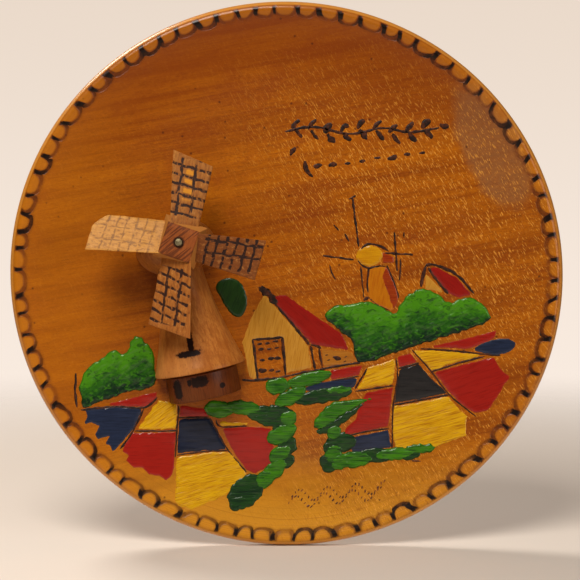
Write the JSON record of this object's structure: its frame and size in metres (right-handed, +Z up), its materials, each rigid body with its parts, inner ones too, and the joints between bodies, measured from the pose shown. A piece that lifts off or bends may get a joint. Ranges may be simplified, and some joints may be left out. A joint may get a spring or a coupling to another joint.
{
  "type": "souvenir plate",
  "caption": "Turned wooden display plate with a dished painted face, a small half-round windmill glued to it, and a carved sail cross that turns on a nail.",
  "frame": {"origin": "centre of the flat foot on the plate's back", "axes": "+Z up as the plate is displayed, +X to the right seen from the front, and the painted face looks along -Y"},
  "size_m": [0.1598, 0.0288, 0.1574],
  "materials": {
    "plate_beech": "amber varnish over turned beech",
    "tower_wood": "satin varnish over turned wood",
    "sail_wood": "bare carved wood with burnt lines",
    "nail_steel": "dull grey nail head",
    "burnt_line": "wood burnt with a hot point",
    "paint_green": "glossy hand paint",
    "paint_dark_green": "glossy hand paint",
    "paint_red": "glossy hand paint",
    "paint_blue": "glossy hand paint",
    "paint_yellow": "glossy hand paint",
    "paint_cream": "thin glossy hand paint",
    "paint_orange": "thin glossy hand paint"
  },
  "bodies": {
    "plate": {"turned_plate": "plate_beech", "mill_tower": "tower_wood", "axle_nail": "nail_steel"},
    "sails": {"sail_cross": "sail_wood"}
  },
  "joints": [
    {"name": "sail_spin", "type": "hinge", "parent": "plate", "child": "sails", "pos_m": [-0.03001, -0.02186, 0.00976], "axis": [0, -1, 0], "continuous": true}
  ]
}
